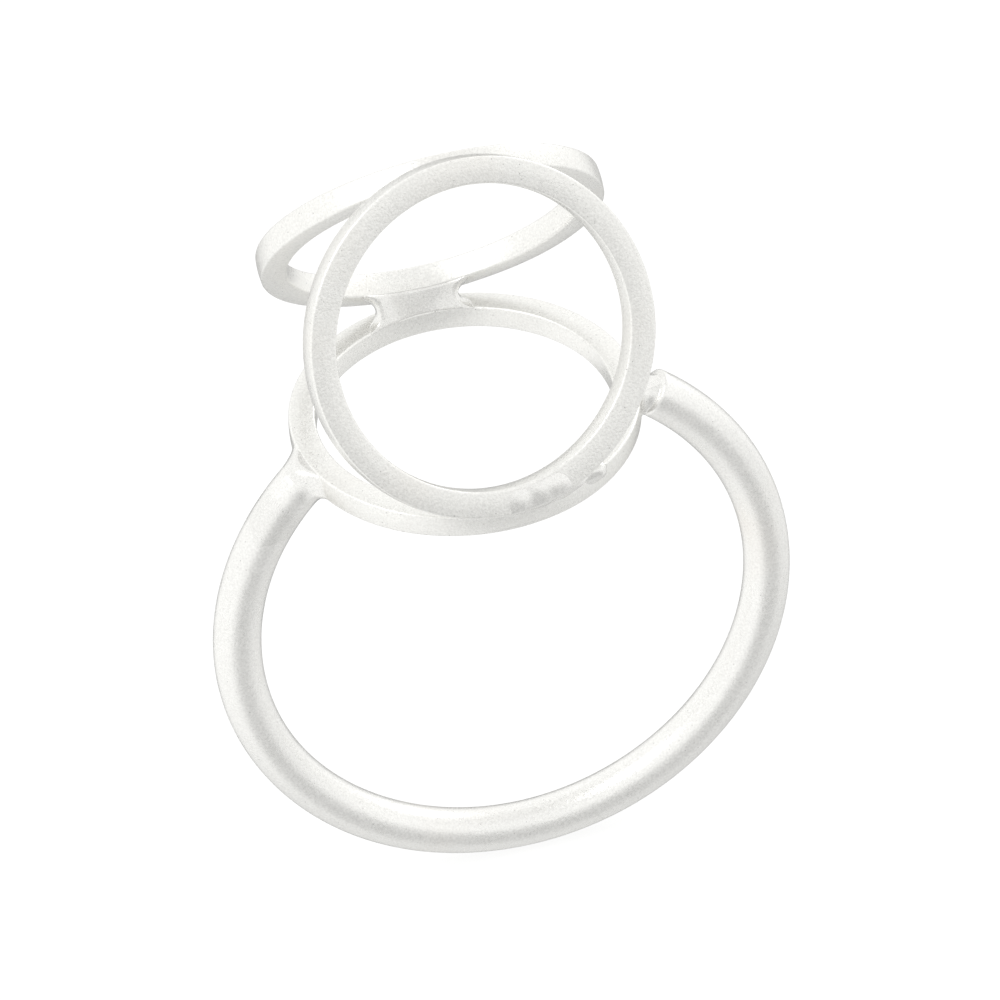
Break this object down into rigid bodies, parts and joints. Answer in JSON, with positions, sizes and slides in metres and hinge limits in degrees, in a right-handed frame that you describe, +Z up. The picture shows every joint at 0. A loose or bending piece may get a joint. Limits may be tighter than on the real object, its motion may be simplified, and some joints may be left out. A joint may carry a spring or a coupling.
{
  "type": "finger ring",
  "caption": "Open wire finger ring closed by a flat hoop that carries two leaning hoops of the same size, soldered into a tent.",
  "frame": {"origin": "centre of the finger opening, on the axis of the round wire shank", "axes": "+Y along the finger, from the front hoop to the back hoop; +Z up from the finger to the head of three hoops; +X across the finger"},
  "size_m": [0.0206, 0.0134, 0.0291],
  "materials": {
    "wire": "satin matte silver plate on a round wire, fine bead-blasted grain",
    "hoops": "satin matte silver plate on flat hoops, fine bead-blasted grain, brighter softened edges",
    "solder": "plated solder, smoother and slightly darker than the wire, lumpy"
  },
  "bodies": {
    "root": {"shank": "wire", "base_hoop": "hoops", "front_hoop": "hoops", "back_hoop": "hoops", "shank_solder_left": "solder", "shank_solder_right": "solder", "front_solder": "solder", "back_solder": "solder", "top_solder": "solder"}
  },
  "joints": []
}
